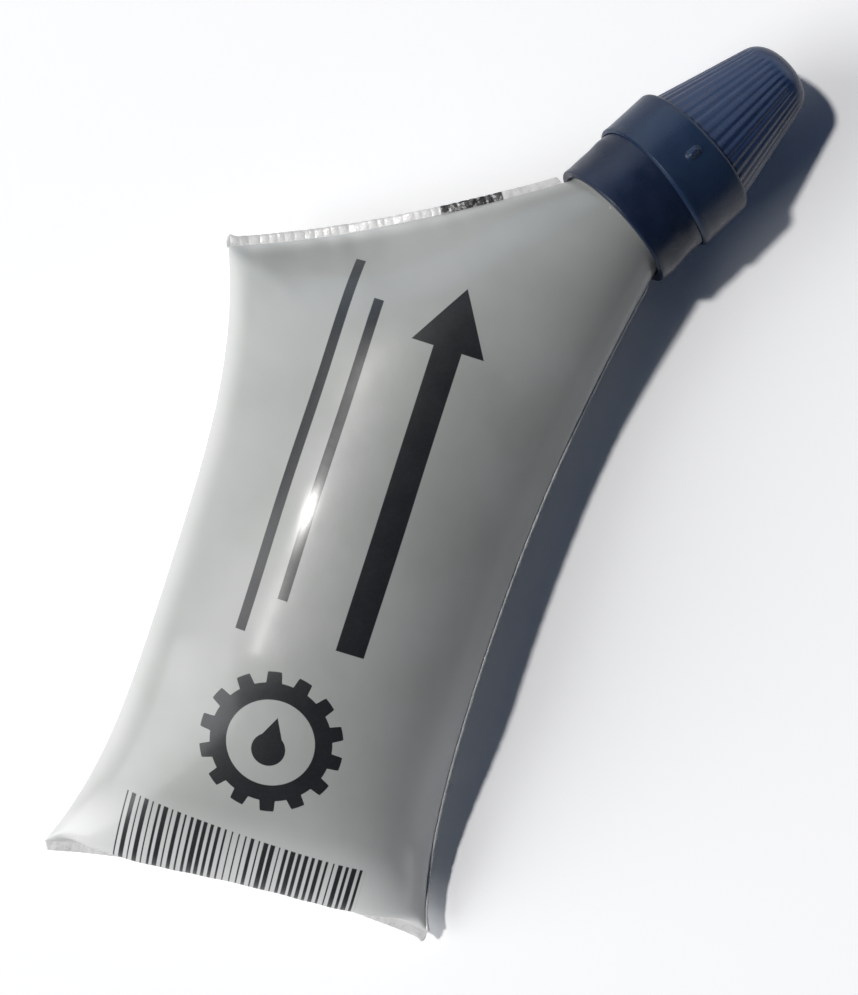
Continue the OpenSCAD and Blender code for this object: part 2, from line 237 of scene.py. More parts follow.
bottom_left = np.array([0.0, 0.0])
bottom_right = np.array([POUCH_W, 0.0])
neck_left = np.array([MOUTH_X, MOUTH_Y]) - NECK_R * spout_side[:2]
neck_right = np.array([MOUTH_X, MOUTH_Y]) + NECK_R * spout_side[:2]
left_edge = Edge(bottom_left, CORNER, -1, LEFT_DRAW, power=3, skew=1)
right_edge = Edge(bottom_right, neck_right, 1, RIGHT_DRAW, power=2.2, skew=0.8)
bottom_edge = Edge(bottom_left, bottom_right, 1, BOTTOM_DRAW, power=2, skew=1)
top_edge = Edge(CORNER, neck_left, -1, TOP_DRAW, power=2, skew=1)
belly_h = (POUCH_T - FILM_T + SETTLE) / 2
belly_z = POUCH_T - FILM_T - belly_h


def row_left(t):
    """Left end of a row of the plan: up the left edge, then along the top edge to the mouth."""
    top = top_edge.point((t - FOLD_SHARE) / (1 - FOLD_SHARE))
    return np.where((t <= FOLD_SHARE)[..., None], left_edge.point(t / FOLD_SHARE), top)


def row_right(t):
    """Right end of a row of the plan, up the right edge to the mouth."""
    upper = mix(RIGHT_SHARE, 1, (t - FOLD_SHARE) / (1 - FOLD_SHARE))
    return right_edge.point(np.where(t <= FOLD_SHARE, RIGHT_SHARE * t / FOLD_SHARE, upper))


def plan(s, t):
    """Point of the plan at the share s across the pouch, from -1 to 1, and the share t up it."""
    p = mix(row_left(t), row_right(t), ((s + 1) / 2)[..., None])
    p[..., 1] += BOTTOM_DRAW * (1 - np.minimum(1, t / FOLD_SHARE)) ** BOTTOM_FADE * (1 - s * s)
    return p


def swell(p):
    """How full the pouch is at a point of the plan, held down by its edges and more by its welded ends."""
    sides = 1 / left_edge.gap(p) + 1 / right_edge.gap(p)
    ends = bottom_edge.gap(p) ** -2.0 + top_edge.gap(p) ** -2.0
    return 1 / np.sqrt(sides + END_HOLD ** 2 * POUCH_W * ends)


# Greatest swell, on the middle line of the pouch
middle_rows = np.linspace(0.01, 1, 120)
full_swell = swell(plan(np.zeros_like(middle_rows), middle_rows)).max()


def mouth_share(t):
    """How far a row has turned into the round mouth, from 0 to 1."""
    return ease((t - MOUTH_BLEND) / (1 - MOUTH_BLEND))


def half_height(s, t):
    """Half the thickness of the pouch, from the full belly to the round mouth."""
    w = np.linalg.norm(row_right(t) - row_left(t), axis=-1) / 2
    round_h = mix(NECK_R, w, NECK_SPREAD) * np.sqrt(np.maximum(0, 1 - s * s))
    full_h = belly_h * (swell(plan(s, t)) / full_swell) ** CROWN
    return np.where((np.abs(s) >= 1) | (t <= 0), 0, mix(full_h, round_h, mouth_share(t)))


def middle_z(s, t):
    """Height of the middle between the two panels."""
    p = plan(s, t)
    z = mix(BOTTOM_Z, belly_z, ease(p[..., 1] / BOTTOM_RISE))
    drop = CORNER_DROP * np.exp(-(np.linalg.norm(p - CORNER, axis=-1) / CORNER_REACH) ** 2)
    return mix(z - drop, mouth[2], mouth_share(t))


def panel(s, t, face):
    """Inner face of the film in the part's frame, with face 1 for the front and -1 for the back."""
    p = plan(s, t)
    h = half_height(s, t)
    upright = np.array([0, 0, 1.0])
    up = unit(upright + mouth_share(t)[..., None] * (spout_up - upright))
    q = np.concatenate([p, middle_z(s, t)[..., None]], -1)
    if face > 0:
        d = bottom_edge.gap(p) / BULGE_AT
        bulge = BOTTOM_BULGE * (d * np.exp(1 - d)) ** BULGE_FORM * (1 - s ** 4)
        q[..., 1] -= np.where(h > 0, bulge, 0)
    q = q + face * h[..., None] * up
    q[..., 2] = np.maximum(q[..., 2], FILM_T)
    return q + plan_origin


# Soft folds of the front film in the plan: start, end, half width and height
FRONT_FOLDS = (
    ((8.0, 95.0), (15.0, 84.0), 1.7, -0.25),
    ((10.5, 93.6), (21.0, 88.5), 1.8, 0.2),
    ((58.0, 4.4), (55.0, 15.0), 1.2, 0.35),
    ((1.6, 2.6), (7.5, 13.0), 1.3, 0.25),
)

# Pleats beside the end welds, each with a pitch that drifts, and the film's slow waves
PLEAT_REACH = 2.4
TOP_PLEAT = 0.1
TOP_PLEAT_PITCH = 5.2
TOP_PLEAT_DRIFT = 0.37
END_PLEAT = 0.12
END_PLEAT_PITCH = 6.3
END_PLEAT_DRIFT = 0.29
SLACK = 0.12
SLACK_PITCH = 31.0
SLACK_SLANT = 0.06
SLACK_SECOND = 0.117
SLACK_START = 1.1
EDGE_CALM = 0.8


def fold(p, start, end, half_width, height):
    """Height of one soft fold, which fades out towards its ends."""
    run = np.subtract(end, start)
    length = np.linalg.norm(run)
    run = run / length
    along = (p - start) @ run / length
    off = (p - start) @ np.array([-run[1], run[0]])
    return height * np.exp(-(off / half_width) ** 2) * ease(4 * along * (1 - along))


def ripples(s, t, face):
    """How far the film stands out from its smooth form, none at its edges and at the mouth."""
    p = plan(s, t)
    across, up = p[..., 0], p[..., 1]
    along = (p - CORNER) @ top_edge.along
    pleat = np.sin(2 * np.pi * along / TOP_PLEAT_PITCH + np.sin(TOP_PLEAT_DRIFT * along))
    out = TOP_PLEAT * pleat * np.exp(-top_edge.gap(p) / PLEAT_REACH)
    pleat = np.sin(2 * np.pi * across / END_PLEAT_PITCH + np.sin(END_PLEAT_DRIFT * across))
    out += END_PLEAT * pleat * np.exp(-bottom_edge.gap(p) / PLEAT_REACH)
    wave = np.sin(2 * np.pi * up / SLACK_PITCH + SLACK_SLANT * across)
    wave = wave + np.sin(SLACK_SECOND * up + SLACK_START)
    out += SLACK * wave * (1 - s * s)
    if face > 0:
        out += sum(fold(p, *f) for f in FRONT_FOLDS)
    nearest = np.minimum.reduce([e.gap(p) for e in (left_edge, right_edge, bottom_edge, top_edge)])
    return out * ease(nearest / EDGE_CALM) * (1 - mouth_share(t))


# Meshes
def grid_faces(rows, columns, wrap_columns=False, wrap_rows=False):
    """Faces of a grid of points, seen from the side where columns run to the right and rows up."""
    j = np.arange(rows if wrap_rows else rows - 1)[:, None]
    i = np.arange(columns if wrap_columns else columns - 1)[None, :]
    k = (i + 1) % columns
    m = (j + 1) % rows
    corners = (j * columns + i, j * columns + k, m * columns + k, m * columns + i)
    return np.stack(np.broadcast_arrays(*corners), -1).reshape(-1, 4)


def add_piece(name, points, faces, body, material, nodes=(), sharp=40):
    """Makes a mesh piece from points in millimetres, with edges sharp beyond an angle in degrees."""
    mesh = bpy.data.meshes.new(name)
    mesh.from_pydata((np.asarray(points) * MM).tolist(), [], [list(f) for f in faces])
    mesh.polygons.foreach_set("use_smooth", [True] * len(mesh.polygons))
    mesh.set_sharp_from_angle(angle=math.radians(sharp))
    mesh.materials.append(material)
    piece = bpy.data.objects.new(name, mesh)
    bpy.context.scene.collection.objects.link(piece)
    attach(piece, body)
    if nodes:
        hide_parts(*nodes)
    return piece


def add_attribute(piece, name, values):
    """Stores a number for each point of the piece, which its material reads by name."""
    layer = piece.data.attributes.new(name, "FLOAT", "POINT")
    layer.data.foreach_set("value", np.asarray(values, np.float32).ravel())


def add_flat_map(piece, name, flat):
    """Stores flat coordinates of the points, in millimetres, as the piece's UV map."""
    layer = piece.data.uv_layers.new(name=name)
    corner = np.empty(len(piece.data.loops), np.int32)
    piece.data.loops.foreach_get("vertex_index", corner)
    layer.data.foreach_set("uv", np.asarray(flat, np.float32)[corner].ravel())


# Film panels
FILM_COLUMNS = 120
FOLD_ROWS = 190
TOP_ROWS = 110
ROW_CROWDING = 1.5
GRIP_ROWS = 4
PRINT_TURN = 4.5

# Paler film near the edges, partly where little grease lies behind it and partly a painted reflection of
# the bright floor on the rims: edge, gap up to which it is full, gap at which it ends, and share
PALE_EDGES = (
    (left_edge, 0.0, 4.0, 0.45),
    (bottom_edge, 3.0, 12.0, 0.6),
    (top_edge, 0.0, 2.5, 0.45),
)
# Paler lower right rim, partly less grease behind the film and partly a painted reflection of the bright
# floor: share, gap, height on the plan at which it ends, and the length over which it fades
PALE_RIGHT = 0.55
PALE_RIGHT_GAP = 7.0
PALE_RIGHT_UP_TO = 60.0
PALE_RIGHT_FADE = 40.0
# Film darker towards the mouth: share, row where it begins, and rows over which it grows
NECK_DARK = 0.3
NECK_DARK_FROM = 0.8
NECK_DARK_FADE = 0.2


def film_shares():
    """Shares across and up the pouch of a film panel's grid, finest at its edges."""
    s = -np.cos(np.linspace(0, np.pi, FILM_COLUMNS + 1))
    up = np.concatenate([
        FOLD_SHARE * np.linspace(0, 1, FOLD_ROWS + 1) ** ROW_CROWDING,
        np.linspace(FOLD_SHARE, 1, TOP_ROWS + 1)[1:]])
    return np.meshgrid(s, up)


def face_directions(grid, face):
    """Direction out of the film at each point of its inner face."""
    out = face * np.cross(np.gradient(grid, axis=1), np.gradient(grid, axis=0))
    out = unit(out + 1e-12)
    row = unit(grid[:, -1] - grid[:, 0])
    out[0] = (0, -1, 0)
    out[:, 0] = -row
    out[:, -1] = row
    return out


def folded_panel(s, t, face):
    """Inner face of a film panel with its folds, above the table."""
    smooth = panel(s, t, face)
    inner = smooth + ripples(s, t, face)[..., None] * face_directions(smooth, face)
    inner[..., 2] = np.maximum(inner[..., 2], FILM_T)
    return inner


def film_grids(face):
    """Inner and outer face of a film panel, both with the sleeve that the collar grips."""
    s, t = film_shares()
    inner = folded_panel(s, t, face)
    out = face_directions(inner, face)
    around = s[-1][:, None]
    out[-1] = around * spout_side + face * np.sqrt(np.maximum(0, 1 - around ** 2)) * spout_up
    outer = inner + FILM_T * out
    outer[..., 2] = np.maximum(outer[..., 2], 0)
    reach = np.linspace(0, FILM_GRIP, GRIP_ROWS + 1)[1:, None, None] * spout_dir
    return tuple(np.concatenate([g, g[-1] + reach]) for g in (inner, outer))


def print_place(p):
    """Place on the print, from the middle of the bottom weld across and along the print's own direction."""
    turn = math.radians(PRINT_TURN)
    along = np.array([math.sin(turn), math.cos(turn)])
    p = p - (POUCH_W / 2, 0)
    return np.stack([p @ np.array([along[1], -along[0]]), p @ along], -1)


def pale_and_rim_sheen_share(p):
    """How pale the film is near its edges, from 0 to 1, partly where little grease lies behind it and
    partly a painted reflection of the bright floor on its rims.
    """
    low = PALE_RIGHT * ease((PALE_RIGHT_UP_TO - p[..., 1]) / PALE_RIGHT_FADE)
    fades = (*PALE_EDGES, (right_edge, 0.0, PALE_RIGHT_GAP, low))
    return np.maximum.reduce([
        weight * ease((to - edge.gap(p)) / (to - full)) for edge, full, to, weight in fades])


def neck_share(t):
    """How much darker the film is towards the mouth, from 0 to 1."""
    return NECK_DARK * ease((t - NECK_DARK_FROM) / NECK_DARK_FADE)


def add_film(name, node, face, material):
    """Film panel of two faces joined round their rim, with its flat map and its shares of tone."""
    inner, outer = film_grids(face)
    rows, columns = inner.shape[:2]
    count = rows * columns
    cells = grid_faces(rows, columns)
    index = np.arange(count).reshape(rows, columns)
    rim = np.concatenate([
        index[0, :-1], index[:-1, -1], index[-1, :0:-1], index[:0:-1, 0]])
    after = np.roll(rim, -1)
    rim_cells = np.stack([rim + count, after + count, after, rim], -1)
    faces = np.concatenate([cells, cells[:, ::-1] + count, rim_cells])
    if face < 0:
        faces = faces[:, ::-1]
    points = np.concatenate([outer.reshape(-1, 3), inner.reshape(-1, 3)])
    piece = add_piece(name, points, faces, "tube", material, (node,))
    s, t = film_shares()
    p = plan(s, t)
    flat = print_place(np.concatenate([p, np.repeat(p[-1:], GRIP_ROWS, axis=0)])).reshape(-1, 2)
    add_flat_map(piece, "flat", np.concatenate([flat, flat]))
    for share, values in (("pale", pale_and_rim_sheen_share(p)), ("neck", neck_share(t))):
        values = np.concatenate([values, np.repeat(values[-1:], GRIP_ROWS, axis=0)]).ravel()
        add_attribute(piece, share, np.concatenate([values, values]))


# Welds
WELD_STEP = 0.1
WELD_ACROSS = 9


def resample(points, step):
    """Points at even steps along a line, with the length at each."""
    length = np.concatenate([[0], np.cumsum(np.linalg.norm(np.diff(points, axis=0), axis=1))])
    even = np.linspace(0, length[-1], int(length[-1] / step) + 1)
    return np.stack([np.interp(even, length, points[:, k]) for k in range(3)], -1), even


def bead(length):
    """Height of the crimp along a weld, one bead to a pitch, from 0 to 1."""
    uneven = length + 0.22 * np.sin(0.8 * length) + 0.1 * np.sin(2.3 * length + 1)
    return np.abs(np.cos(np.pi * uneven / CRIMP_PITCH)) ** 0.7


def add_crimped_weld(name, node, root, out, strength, material):
    """Flat weld along the root points, standing out in the plan, with beads of the given strength."""
    root, length = resample(root, WELD_STEP)
    out = unit(np.stack([np.interp(np.linspace(0, 1, len(root)), np.linspace(0, 1, len(out)), out[:, k])
                         for k in range(3)], -1))
    share = np.linspace(0, 1, WELD_ACROSS)
    beads = (bead(length) * strength(length / length[-1]))[:, None]
    from_end = np.minimum(length, length[-1] - length)
    end_round = np.sqrt(np.clip(from_end / WELD_END_R, 0.05, 1))[:, None]
    ear = EAR_W * np.exp(-(length / EAR_L) ** 2)[:, None]
    width = (CRIMP_W + WELD_SPARE) * end_round - SCALLOP * (1 - beads) * end_round + ear
    pillow = np.sin(np.pi * np.clip(share * 1.05, 0, 1)) ** 0.5
    height = FILM_T * (0.55 + 0.45 * (share[None, :] < 0.98)) + BEAD_H * beads * pillow
    wander = WELD_WANDER * np.sin(0.9 * length + np.sin(0.31 * length))[:, None]
    base = root[:, None] + out[:, None] * (width * share - WELD_INSET)[..., None]
    lift = np.array([0, 0, 1.0])
    top = base + lift * (wander * share + height)[..., None]
    low = base + lift * (wander * share - height)[..., None]
    ring = np.concatenate([low, top[:, ::-1]], axis=1)
    rows, columns = ring.shape[:2]
    faces = [list(f) for f in grid_faces(rows, columns, wrap_columns=True)]
    last = (rows - 1) * columns
    faces += [list(range(columns))[::-1], list(range(last, last + columns))]
    piece = add_piece(name, ring.reshape(-1, 3), faces, "tube", material, (node,), sharp=50)
    flat = np.broadcast_to(np.stack([length, 0 * length], -1)[:, None], (rows, columns, 2))
    add_flat_map(piece, "flat", flat.reshape(-1, 2))


def top_strength(share):
    """Strength of the top weld's beads, which fade out beside the spout."""
    return 1 - TOP_BEADS_LOST * ease((share - TOP_BEADS_END) / TOP_BEADS_FADE)


def bottom_strength(share):
    return np.full_like(share, BOTTOM_BEADS)


def add_top_weld(material):
    """Weld along the slanted top edge, from just beyond the left corner to the spout."""
    q = np.linspace(TOP_WELD_FROM, TOP_WELD_TO, 200)
    share = np.clip(q, 0, 1)
    t = mix(FOLD_SHARE, 1, share)
    p = top_edge.point(share) + np.minimum(q, 0)[:, None] * top_edge.length * top_edge.along
    z = middle_z(-np.ones_like(t), t)
    root = np.concatenate([p, z[:, None]], -1) + plan_origin
    run = np.gradient(top_edge.point(share), axis=0)
    out = np.stack([-run[:, 1], run[:, 0], 0 * q], -1)
    # Beyond the corner the run is nil, so the edge's own outward direction counts
    out = out + 1e-9 * np.array([-top_edge.inward[0], -top_edge.inward[1], 0])
    add_crimped_weld("top_weld_crimped", "top_weld", root, unit(out), top_strength, material)


def add_bottom_weld(material):
    """Weld along the bottom edge, under the bulge of the front film."""
    s = np.linspace(-1, 1, 200)
    t = np.zeros_like(s)
    root = np.concatenate([plan(s, t), middle_z(s, t)[:, None]], -1) + plan_origin
    out = np.tile([0, -1.0, 0], (len(s), 1))
    add_crimped_weld("bottom_weld_crimped", "bottom_weld", root[::-1], out, bottom_strength, material)


def add_side_weld(material):
    """Narrow bead of welded film along the right edge."""
    around = 14
    t = np.concatenate([
        FOLD_SHARE * np.linspace(0, 1, 200) ** ROW_CROWDING,
        np.linspace(FOLD_SHARE, SIDE_WELD_TO, 120)[1:]])
    one = np.ones_like(t)
    row = unit(row_right(t) - row_left(t))
    out = np.concatenate([row, 0 * t[:, None]], -1)
    middle = np.concatenate([row_right(t), middle_z(one, t)[:, None]], -1) + plan_origin
    length = np.concatenate([[0], np.cumsum(np.linalg.norm(np.diff(middle, axis=0), axis=1))])
    lumps = 1 + 0.12 * np.sin(1.7 * length + np.sin(0.6 * length)) + 0.08 * np.sin(4.1 * length)
    from_end = np.minimum(length, length[-1] - length)
    end_round = np.sqrt(np.clip(from_end / SIDE_WELD_END_R, 0.04, 1))
    turn = np.linspace(0, 2 * np.pi, around, endpoint=False)
    wide = 0.5 * SIDE_WELD_W * (lumps * end_round)[:, None] * np.cos(turn)
    high = SIDE_WELD_H * (lumps * end_round)[:, None] * np.sin(turn)
    centre = middle + out * (FILM_T + SIDE_WELD_OUT) + np.array([0, 0, SIDE_WELD_LIFT])
    ring = centre[:, None] + out[:, None] * wide[..., None] + np.array([0, 0, 1.0]) * high[..., None]
    rows = len(t)
    faces = [list(f)[::-1] for f in grid_faces(rows, around, wrap_columns=True)]
    last = (rows - 1) * around
    faces += [list(range(around)), list(range(last, last + around))[::-1]]
    points = ring.reshape(-1, 3)
    piece = add_piece("side_weld_bead", points, faces, "tube", material, ("side_weld",), sharp=70)
    add_flat_map(piece, "flat", np.zeros((rows * around, 2)))


# Turned pieces of the spout: points of a rounding, and segments round the axis
ROUNDING_POINTS = 7
COLLAR_SEGMENTS = 288
NOZZLE_SEGMENTS = 360
CAP_SEGMENTS = 12 * FLUTES
DISC_SEGMENTS = 96
GREASE_SEGMENTS = 64

# Lumps of the soft band: share, waves round it, drift along it and start
BAND_LUMP = 0.13
BAND_LUMPS = (
    (0.5, 3, 0.4, 0.6),
    (0.35, 5, -0.7, 2.0),
    (0.3, 8, 0.9, 0.0),
    (0.25, 2, 1.3, 4.0),
)
BAND_FADE = 1.6


def soft_outline(corners, step, closed=True, plain=0.0):
    """Outline through corners given as radius, station and rounding.

    Its points are no further apart than step, but a line within the radius plain stays whole.
    """
    points = []
    count = len(corners)
    for k, (r, z, rounding) in enumerate(corners):
        here = np.array([r, z])
        inside = closed or 0 < k < count - 1
        if rounding > 0 and inside:
            before = unit(np.array(corners[k - 1][:2]) - here)
            after = unit(np.array(corners[(k + 1) % count][:2]) - here)
            for q in np.linspace(0, 1, ROUNDING_POINTS):
                points.append(here + rounding * ((1 - q) ** 2 * before + q ** 2 * after))
        else:
            points.append(here)
    ends = points[1:] + points[:1] if closed else points[1:]
    fine = []
    for a, b in zip(points, ends):
        whole = max(a[0], b[0]) < plain
        steps = 1 if whole else max(1, int(math.ceil(np.linalg.norm(b - a) / step)))
        fine += [mix(a, b, q) for q in np.arange(steps) / steps]
    return np.array(fine if closed else fine + [points[-1]])


def turned(outline, segments, push, slide=None, closed=True):
    """Points and faces of an outline turned about the spout; push changes the radius, slide the station."""
    around = np.linspace(0, 2 * np.pi, segments, endpoint=False)
    rings = outline if closed else outline[1:-1]
    r, z, a = np.broadcast_arrays(rings[:, :1], rings[:, 1:], around[None, :])
    r, z = r + push(r, z, a), z + (slide(r, z, a) if slide else 0)
    points = (mouth + z[..., None] * spout_dir
              + r[..., None] * (np.cos(a)[..., None] * spout_side - np.sin(a)[..., None] * spout_up))
    points = points.reshape(-1, 3)
    faces = [list(f) for f in grid_faces(len(rings), segments, wrap_columns=True, wrap_rows=closed)]
    if not closed:
        poles = mouth + outline[[0, -1], 1][:, None] * spout_dir
        start = len(points)
        points = np.concatenate([points, poles])
        last = start - segments
        for k in range(segments):
            m = (k + 1) % segments
            faces += [[start, m, k], [last + k, last + m, start + 1]]
    return points, faces


def no_push(r, z, a):
    return np.zeros_like(r)


def thread(z, a, low, high):
    """Height of a right-hand thread between two stations, from 0 to 1."""
    phase = (z - low) / THREAD_PITCH - a / (2 * np.pi)
    ridge = ease(THREAD_FLAT - THREAD_FLANK * np.abs(phase - np.floor(phase) - 0.5))
    return ridge * ease((z - low) / THREAD_RUN_OUT) * ease((high - z) / THREAD_RUN_OUT)


def collar_push(r, z, a):
    """Uneven wall of the soft band, most between its ends."""
    outer = r > COLLAR_TOP_R - 0.05
    lumps = sum(share * np.sin(waves * a + drift * z + start) for share, waves, drift, start in BAND_LUMPS)
    middle = ease(z / BAND_FADE) * ease((COLLAR_L - 0.2 - z) / BAND_FADE)
    return np.where(outer, BAND_LUMP * lumps * middle, 0)


def nozzle_push(r, z, a):
    """Nub on the skirt and thread on the boss."""
    top = -np.pi / 2 + math.radians(NUB_TURN)
    across = LIP_R * np.angle(np.exp(1j * (a - top)))
    straight = NUB_L - NUB_W
    along = np.maximum(0, np.abs(z - NUB_AT) - straight / 2)
    reach = np.sqrt(across ** 2 + along ** 2) / (NUB_W / 2)
    nub = NUB_H * ease(1.15 * (1 - reach))
    boss = (np.abs(r - BOSS_R) < 0.01) & (z > SKIRT_TOP)
    crest = thread(z, a, SKIRT_TOP + BOSS_THREAD_INSET, BOSS_TOP - BOSS_THREAD_INSET)
    ridge = THREAD_CREST - THREAD_DEPTH * (1 - crest)
    return np.where(r > SKIRT_R - 0.3, nub, 0) + np.where(boss, ridge, 0)


def nozzle_slide(r, z, a):
    """Uneven edge of the lip, which does not reach the end of the collar under it."""
    lip = np.where(r > LIP_IN_R - 0.01, 1 - ease((z - COLLAR_L) / LIP_OVERLAP), 0)
    return LIP_WAVE * np.sin(2 * a) * lip


def cone_radius(z):
    """Radius of the cap's cone at a station."""
    return mix(CAP_R, CAP_TOP_R, (z - CAP_FOOT) / (CONE_TOP - CAP_FOOT))


def cap_push(r, z, a):
    """Round flutes down the outside and a thread inside the mouth of the cap."""
    outer = (r > cone_radius(z) - 0.3) & (z < CONE_TOP)
    groove = ((1 + np.cos(FLUTES * a)) / 2) ** FLUTE_FORM
    flutes = -FLUTE_DEPTH * groove * ease((CONE_TOP - FLUTE_STOP - z) / FLUTE_FADE)
    inner = (np.abs(r - CAVITY_R) < 0.01) & (z < CAP_FOOT + CAP_THREAD_L)
    crest = thread(z, a + np.pi, CAP_FOOT + CAP_THREAD_FROM, CAP_FOOT + CAP_THREAD_TO)
    ridge = THREAD_DEPTH * (1 - crest)
    return np.where(outer, flutes, 0) + np.where(inner, ridge, 0)


def add_collar(material):
    """Band over the film's sleeve, which hooks in behind the end of the film."""
    bore_r = MOUTH_R + SEAT_GAP
    hook_r = BARREL_R + SEAT_GAP
    hook = FILM_GRIP + 2 * SEAT_GAP
    outline = soft_outline([
        (bore_r, FILM_GROOVE, 0), (bore_r + FILM_GROOVE, 0, 0.1), (COLLAR_R, 0, 0.35),
        (COLLAR_TOP_R, COLLAR_H, 0.15),
        (hook_r, COLLAR_H, 0), (hook_r, hook, 0), (bore_r, hook, 0)], 0.25)
    points, faces = turned(outline, COLLAR_SEGMENTS, collar_push)
    add_piece("collar_band", points, faces, "tube", material, ("collar",))


def add_nozzle(material):
    """Skirt with its lip and nub, deck, threaded boss and tapered nozzle."""
    outline = soft_outline([
        (LIP_IN_R, COLLAR_L, 0.05), (LIP_R, COLLAR_L + 0.35, 0.2), (LIP_R, COLLAR_L + LIP_BEAD_L / 2, 0.3),
        (SKIRT_R, COLLAR_L + LIP_BEAD_L, 0.3), (SKIRT_R, SKIRT_TOP, SHOULDER_R),
        (BOSS_R, SKIRT_TOP, 0), (BOSS_R, BOSS_TOP, 0), (BOSS_R - 0.6, BOSS_TOP, 0.1),
        (NOZZLE_ROOT_R, BOSS_TOP, 0.35), (NOZZLE_TIP_R, NOZZLE_TIP, 0.3), (OUTLET_R, NOZZLE_TIP, 0.15),
        (OUTLET_R, OUTLET_FROM, 0), (PASSAGE_R, SKIRT_TOP, 0), (PASSAGE_R, SOCKET_TOP, 0),
        (SOCKET_R, SOCKET_TOP, 0), (SOCKET_R, COLLAR_H + SEAT_GAP, 0), (LIP_IN_R, COLLAR_H + SEAT_GAP, 0)],
        0.18, plain=BOSS_R - 0.1)
    points, faces = turned(outline, NOZZLE_SEGMENTS, nozzle_push, nozzle_slide)
    add_piece("nozzle_moulding", points, faces, "tube", material, ("nozzle",))


def add_cap(material):
    """Fluted cone with a soft end, hollow over the nozzle, with a seat for the disc."""
    seat_r = DISC_R + TURN_GAP
    seat_low = DISC_LOW - TURN_GAP
    inner_top_r = max(seat_r, cone_radius(DISC_LOW) - CAP_WALL)
    bend = CONE_TOP - CAP_BEND
    dome = []
    for q in np.linspace(1, 0, 25)[:-1]:
        r = q ** 2 * cone_radius(bend) + 2 * q * (1 - q) * cone_radius(CAP_END)
        dome.append((r, mix(CAP_END, bend, q ** 2), 0))
    outline = soft_outline([
        (0, CAVITY_END, 0), (seat_r, CAVITY_END, 0), (seat_r, seat_low, 0), (inner_top_r, seat_low, 0),
        (CAVITY_R, CAP_FOOT + CAP_THREAD_L, 0), (CAVITY_R, CAP_FOOT, 0), (CAP_R, CAP_FOOT, 0.22),
        *dome, (0, CAP_END, 0)], 0.24, closed=False, plain=CAVITY_R - 0.1)
    points, faces = turned(outline, CAP_SEGMENTS, cap_push, closed=False)
    add_piece("cap_fluted", points, faces, "cap", material, ("cap",), sharp=55)


def add_disc(material):
    """Soft disc, with the ring that the nozzle's tip has pressed into it."""
    press = 0.12
    ring = NOZZLE_TIP_R
    outline = soft_outline([
        (0, DISC_LOW, 0), (OUTLET_R, DISC_LOW, 0.1), (OUTLET_R + 0.15, DISC_LOW + press, 0.08),
        (ring - 0.15, DISC_LOW + press, 0.08), (ring, DISC_LOW, 0.1), (DISC_R, DISC_LOW, 0.2),
        (DISC_R, DISC_TOP, 0.2), (0, DISC_TOP, 0)], 0.15, closed=False)
    points, faces = turned(outline, DISC_SEGMENTS, no_push, closed=False)
    add_piece("seal_disc", points, faces, "cap_seal", material, ("cap_seal",))


# Grease: gap to the film, room round its column, rows that it fills, and gap to the spout
GREASE_INSET = 0.35
GREASE_ROOM = 0.04
GREASE_FROM = 0.02
GREASE_TO = 0.93
GREASE_BELOW_SPOUT = 0.6


def add_grease(material):
    """Grease in the pouch up to the spout, and its column in the passage up to the outlet."""
    s = -np.cos(np.linspace(0, np.pi, 49))
    t = np.linspace(GREASE_FROM, GREASE_TO, 120)
    below_mouth = (np.array([MOUTH_X, MOUTH_Y]) - (row_left(t) + row_right(t)) / 2) @ unit(spout_dir[:2])
    t = t[below_mouth > SPOUT_DEPTH + GREASE_BELOW_SPOUT]
    s, t = np.meshgrid(s, t)
    halves = []
    depth = np.minimum(GREASE_INSET, 0.4 * half_height(s, t))[..., None]
    for face in (1, -1):
        grid = folded_panel(s, t, face)
        out = face_directions(grid, face)
        out[0] = out[1]
        halves.append(grid - depth * out)
    ring = np.concatenate([halves[0], halves[1][:, -2:0:-1]], axis=1)
    rows, columns = ring.shape[:2]
    faces = [list(f) for f in grid_faces(rows, columns, wrap_columns=True)]
    last = (rows - 1) * columns
    faces += [list(range(columns))[::-1], list(range(last, last + columns))]
    add_piece("grease_body", ring.reshape(-1, 3), faces, "tube", material, ("grease_fill",))
    column_r = PASSAGE_R - GREASE_ROOM
    outlet_r = OUTLET_R - GREASE_ROOM
    column_from = 0.4 - SPOUT_DEPTH
    outline = soft_outline([
        (0, column_from, 0), (column_r, column_from, 0.3), (column_r, SKIRT_TOP, 0),
        (outlet_r, OUTLET_FROM, 0), (outlet_r, NOZZLE_TIP - 0.35, 0.2),
        (0.6, NOZZLE_TIP - 0.5, 0.2), (0, NOZZLE_TIP - 0.45, 0)], 0.3, closed=False)
    points, faces = turned(outline, GREASE_SEGMENTS, no_push, closed=False)
    add_piece("grease_column", points, faces, "tube", material)


